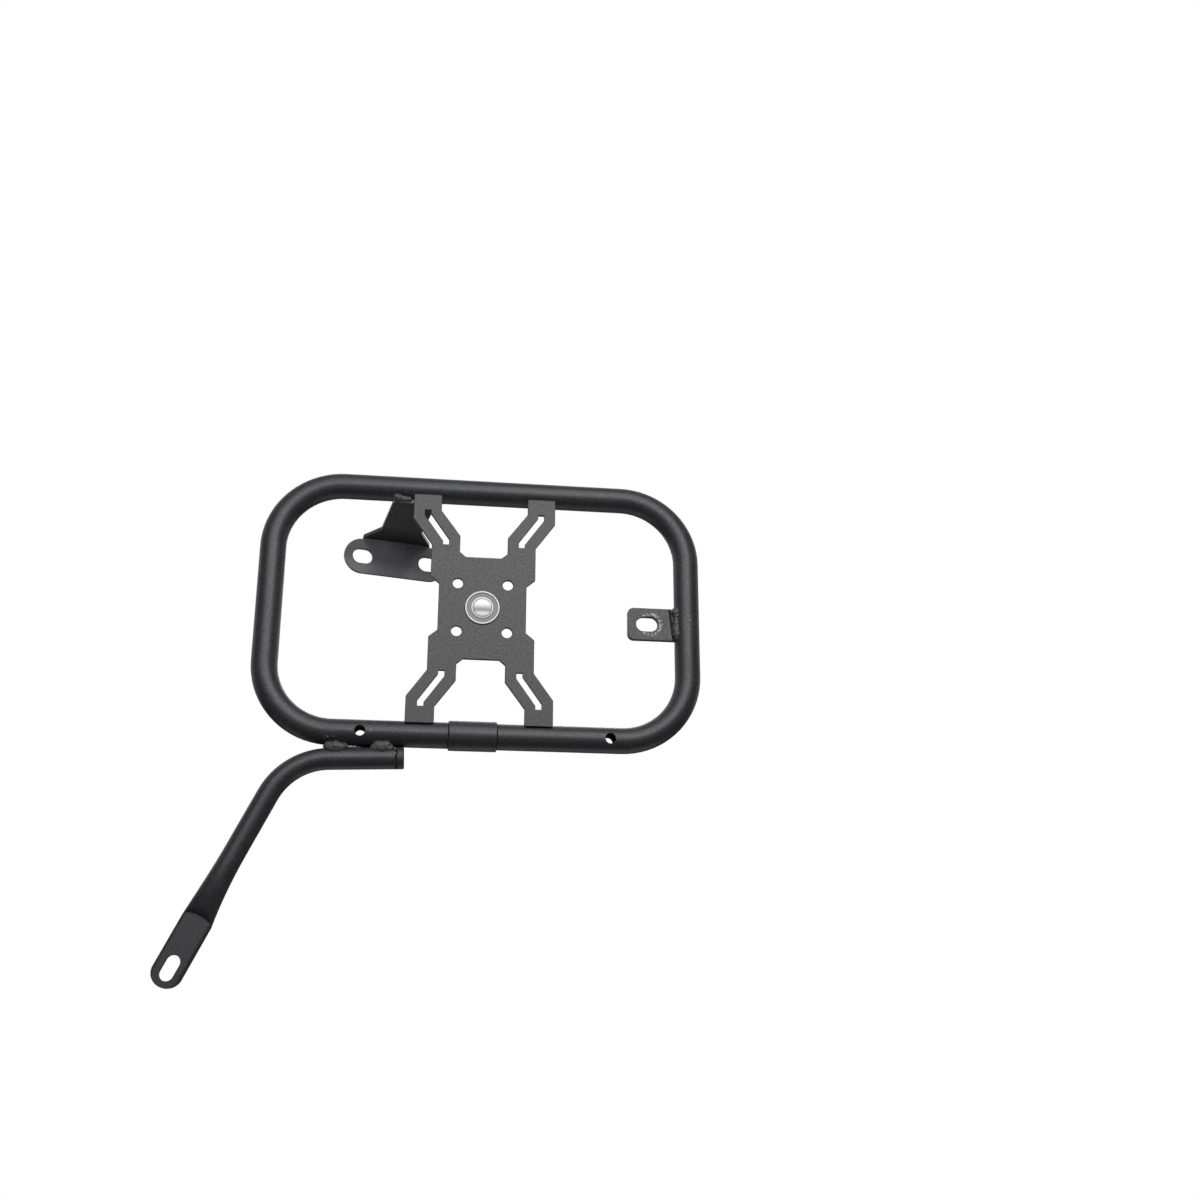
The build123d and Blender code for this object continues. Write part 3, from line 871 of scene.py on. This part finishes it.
front_y = bracket_low.y + FRONT_INSET
front_z = bracket_low.z + FRONT_INSET
balls = [
    puddle((bracket_low.x + along * MM, front_y, front_z + up * MM), radius * MM)
    for along, up, radius in BRACKET_HEAP
]
rear_y = bracket_high.y - REAR_INSET_Y
rear_z = bracket_high.z - REAR_INSET_Z
rear_start = (bracket_low.x + REAR_END, rear_y, rear_z)
rear_end = (bracket_high.x - REAR_END, rear_y, rear_z)
chance = random.Random(5)
balls += puddles(chance, rear_start, rear_end, radius=2.9 * MM, pitch=2.4 * MM, stray=0.3 * MM)
bracket_welds = weld_piece("bracket_weld_lumps", balls, voxel=0.4 * MM, skin=0.9 * MM)
settle(bracket_welds, weld_coat, "coated_weld", "bracket_welds")

# %% [markdown]
# Each of the plate's four arms ends on the loop, with a short bead behind it. The four are alike, so one
# loop lays them, left and right, low and high, from the far corner of the welds' box.

# %% Plate welds
PLATE_BEAD = 18.0 * MM
BEAD_END = 2.2 * MM
BEAD_FRONT = 2.6 * MM
_, plate_weld_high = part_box("plate_welds")

chance = random.Random(3)
balls = []
for side in (-1, 1):
    for end in (-1, 1):
        z = end * (plate_weld_high.z - BEAD_END)
        y = plate_weld_high.y - BEAD_FRONT
        inner = (side * (plate_weld_high.x - PLATE_BEAD + BEAD_END), y, z)
        outer = (side * (plate_weld_high.x - BEAD_END), y, z)
        balls += puddles(chance, inner, outer, radius=2.4 * MM, pitch=2.2 * MM, stray=0.25 * MM)
plate_welds = weld_piece("plate_weld_lumps", balls, voxel=0.4 * MM, skin=0.6 * MM)
settle(plate_welds, weld_coat, "coated_weld", "plate_welds")

# %% [markdown]
# ## Badge
# A pressed silver badge sits in the middle of the plate, with a rolled rim, a plain sunk ring and a low
# dome. Metal mirrors what stands in front of it, and the dome is too low to mirror the lamps in a shape
# of its own. So a painted reflection is put into its colour: light above, dark across the middle, half
# light below, and a thin dark line and a bright ring round it. Fine brushed rings break up the shine.

# %% Badge finish
RING_IN = 9.6 * MM
RING_OUT = 12.9 * MM
RING_BLEND = 0.2 * MM
DOME_FOOT = 0.3 * MM
DOME_LINE = 7.9 * MM
LINE_FADE = (0.2 * MM, 0.6 * MM)
UPPER_FADE = (-2.4 * MM, 4.2 * MM)
LOWER_FADE = (-5.6 * MM, -1.6 * MM)
LOWER_LIGHT = 0.8
EDGE_FADE = (-8.0 * MM, -5.2 * MM)
EDGE_LIGHT = 0.5
BRUSH_LINES = 6000.0
BRUSH_LEAST = 0.85
BRUSH_SWING = 0.3
SILVER_LIGHT = (0.41, 0.41, 0.414, 1)
SILVER_DARK = (0.15, 0.15, 0.152, 1)
SILVER_LINE = (0.10, 0.10, 0.101, 1)
SILVER_RING = (0.19, 0.19, 0.192, 1)
SILVER_ROUGH = 0.52
RING_DULLING = 0.10

silver, tree, shader = start_coat("badge_silver")
shader.inputs["Metallic"].default_value = 1.0
_, up, out = split_round(tree, place_on(tree))
rings = add_node(tree, "CombineXYZ")
tree.links.new(reckon(tree, "MULTIPLY", out, BRUSH_LINES), rings.inputs["X"])
brushed = noise(tree, rings.outputs[0], 1.0, detail=3.0)
past_dome = ramp(tree, out, RING_IN - DOME_FOOT, RING_IN + RING_BLEND)
before_rim = ramp(tree, out, RING_OUT - RING_BLEND, RING_OUT + RING_BLEND, 1.0, 0.0)
sunk = reckon(tree, "MULTIPLY", past_dome, before_rim)
# Painted reflection: light above, dark across the middle, half light below, a dark line and a bright ring
off_line = reckon(tree, "ABSOLUTE", reckon(tree, "SUBTRACT", out, DOME_LINE))
line = ramp(tree, off_line, *LINE_FADE, 1.0, 0.0)
upper = ramp(tree, up, *UPPER_FADE)
lower = ramp(tree, up, *LOWER_FADE, LOWER_LIGHT, 0.0)
lower = reckon(tree, "MULTIPLY", lower, ramp(tree, up, *EDGE_FADE, EDGE_LIGHT, 1.0))
off_dome = ramp(tree, out, DOME_LINE - RING_BLEND, DOME_LINE + RING_BLEND)
lit = reckon(tree, "MAXIMUM", reckon(tree, "MAXIMUM", upper, lower), off_dome)
painted_reflection = blended(tree, line, blended(tree, lit, SILVER_DARK, SILVER_LIGHT), SILVER_LINE)
bright = scaled(tree, painted_reflection, reckon(tree, "MULTIPLY_ADD", brushed, BRUSH_SWING, BRUSH_LEAST))
tree.links.new(blended(tree, sunk, bright, SILVER_RING), shader.inputs["Base Color"])
satin = reckon(tree, "MULTIPLY_ADD", sunk, RING_DULLING, SILVER_ROUGH)
tree.links.new(satin, shader.inputs["Roughness"])
print("finish", silver.name)

# %% [markdown]
# The badge's shape could be a turned profile. A disc that is shaped by one inset after another, each
# raised or lowered a little, is shorter to write, and gives true rings of faces that a bevel can then
# soften. The rim is three insets, the sunk ring is one, and the dome is a few, each rising less.

# %% Badge shape
WALL_SHARE = 0.7
# Each inset of the rim: width, and rise as a share of the badge's thickness
RIM_STEPS = ((0.6 * MM, 0.3), (0.9 * MM, 0.0), (0.5 * MM, -0.4))
DOME_EDGE = 0.4 * MM
DOME_RISE = 0.2
DOME_STEPS = 7
DOME_CROWN = 0.4
MIDDLE_SHARE = 0.6
EDGE_BEVEL = 0.12 * MM
BEVEL_ANGLE = math.radians(25)
SHARP_ANGLE = math.radians(40)
badge_low, badge_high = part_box("badge_blank")
badge_radius = (badge_high.x - badge_low.x) / 2
badge_t = badge_high.y - badge_low.y
rim_width = sum(wide for wide, _ in RIM_STEPS)

bpy.ops.mesh.primitive_circle_add(
    vertices=96,
    radius=badge_radius,
    fill_type="NGON",
    location=(0, badge_high.y, 0),
    rotation=(math.radians(90), 0, 0),
)
badge = bpy.context.object
badge.name = "silver_badge"
bpy.ops.object.mode_set(mode="EDIT")
bpy.ops.mesh.select_all(action="SELECT")
bpy.ops.mesh.extrude_region_move(TRANSFORM_OT_translate={"value": (0, -WALL_SHARE * badge_t, 0)})
for wide, rise in RIM_STEPS:
    bpy.ops.mesh.inset(thickness=wide, depth=rise * badge_t)
bpy.ops.mesh.inset(thickness=badge_radius - rim_width - RING_IN, depth=0)
bpy.ops.mesh.inset(thickness=DOME_EDGE, depth=DOME_RISE * badge_t)
for step in range(DOME_STEPS):
    rise = DOME_RISE * badge_t * DOME_CROWN * (1 - step / DOME_STEPS) ** 2
    bpy.ops.mesh.inset(thickness=(RING_IN - DOME_EDGE) / (DOME_STEPS + MIDDLE_SHARE), depth=rise)
bpy.ops.object.mode_set(mode="OBJECT")
soften = badge.modifiers.new("soften", "BEVEL")
soften.width = EDGE_BEVEL
soften.segments = 2
soften.angle_limit = BEVEL_ANGLE
apply_all(badge)
settle(badge, silver, "badge_metal", "badge_blank")
bpy.ops.object.shade_smooth_by_angle(angle=SHARP_ANGLE)
